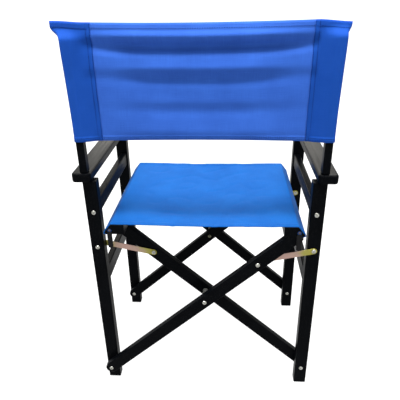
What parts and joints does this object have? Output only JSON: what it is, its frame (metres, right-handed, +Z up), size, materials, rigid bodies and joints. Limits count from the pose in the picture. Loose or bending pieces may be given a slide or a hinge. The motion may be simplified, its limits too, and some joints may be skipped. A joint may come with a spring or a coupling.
{
  "type": "folding director chair",
  "caption": "Folding director chair with a lacquered wooden X frame, flat armrests, plated side links and a sling seat and back of woven canvas",
  "frame": {"origin": "on the floor, midway between the four legs", "axes": "+Z up, +X to the sitter's left, +Y behind the chair, so the sitter faces -Y"},
  "size_m": [0.554, 0.3754, 0.879],
  "materials": {
    "black_lacquer": "gloss",
    "blue_canvas": "matte",
    "yellow_zinc": "satin",
    "steel": "satin",
    "black_steel": "satin",
    "bare_wood": "matte"
  },
  "bodies": {
    "left_side": {"left_rear_leg": "black_lacquer", "left_rear_rail_screw": "steel", "left_rear_foot_bolt": "steel", "left_rear_foot_washer": "steel", "left_rear_link_leg_bolt": "steel", "left_front_leg": "black_lacquer", "left_front_rail_screw": "steel", "left_front_foot_bolt": "steel", "left_front_foot_washer": "steel", "left_front_link_leg_bolt": "steel", "left_upper_side_rail": "black_lacquer", "left_lower_side_rail": "black_lacquer", "left_armrest": "black_lacquer", "left_armrest_dowel": "bare_wood", "left_back_post": "black_lacquer", "back_canvas": "blue_canvas"},
    "cross_to_right": {"rear_cross_leg_to_right": "black_lacquer", "front_cross_leg_to_right": "black_lacquer", "right_seat_rail": "black_lacquer", "right_seat_dowel": "bare_wood", "right_dowel_keeper": "black_steel", "right_seat_rail_rear_screw": "black_steel", "right_seat_rail_front_screw": "black_steel", "rear_cross_bolt": "steel", "front_cross_bolt": "steel", "rear_cross_spacer": "steel", "front_cross_spacer": "steel", "right_rear_link_cross_bolt": "steel", "right_front_link_cross_bolt": "steel", "seat_canvas": "blue_canvas"},
    "cross_to_left": {"rear_cross_leg_to_left": "black_lacquer", "front_cross_leg_to_left": "black_lacquer", "left_seat_rail": "black_lacquer", "left_seat_dowel": "bare_wood", "left_dowel_keeper": "black_steel", "left_seat_rail_rear_screw": "black_steel", "left_seat_rail_front_screw": "black_steel"},
    "right_side": {"right_rear_leg": "black_lacquer", "right_rear_rail_screw": "steel", "right_rear_foot_bolt": "steel", "right_rear_foot_washer": "steel", "right_rear_link_leg_bolt": "steel", "right_front_leg": "black_lacquer", "right_front_rail_screw": "steel", "right_front_foot_bolt": "steel", "right_front_foot_washer": "steel", "right_front_link_leg_bolt": "steel", "right_upper_side_rail": "black_lacquer", "right_lower_side_rail": "black_lacquer", "right_armrest": "black_lacquer", "right_armrest_dowel": "bare_wood", "right_back_post": "black_lacquer"},
    "left_links": {"left_rear_link": "yellow_zinc", "left_front_link": "yellow_zinc", "left_rear_link_end_rivet": "steel", "left_front_link_end_rivet": "steel"},
    "right_links": {"right_rear_link": "yellow_zinc", "right_front_link": "yellow_zinc"}
  },
  "joints": [
    {"name": "fold", "type": "hinge", "parent": "left_side", "child": "cross_to_right", "pos_m": [0.243, 0, 0.05], "axis": [0, 1, 0], "range_deg": [0, 30], "deforming": ["seat_canvas", "back_canvas"]},
    {"name": "cross_pivot", "type": "hinge", "parent": "cross_to_right", "child": "cross_to_left", "pos_m": [0, 0, 0.268], "axis": [0, 1, 0], "range_deg": [-60, 0]},
    {"name": "right_foot_pivot", "type": "hinge", "parent": "cross_to_left", "child": "right_side", "pos_m": [-0.243, 0, 0.05], "axis": [0, 1, 0], "range_deg": [0, 30]},
    {"name": "left_link_pivot", "type": "hinge", "parent": "left_side", "child": "left_links", "pos_m": [0.243, 0, 0.403], "axis": [0, 1, 0], "range_deg": [0, 77.7]},
    {"name": "right_link_pivot", "type": "hinge", "parent": "right_side", "child": "right_links", "pos_m": [-0.243, 0, 0.403], "axis": [0, 1, 0], "range_deg": [-77.7, 0]}
  ],
  "couplings": [
    {"joint": "cross_pivot", "follows": "fold", "ratio": -2},
    {"joint": "right_foot_pivot", "follows": "fold", "ratio": 1},
    {"joint": "left_link_pivot", "follows": "fold", "ratio": 2.587},
    {"joint": "right_link_pivot", "follows": "fold", "ratio": -2.587}
  ]
}
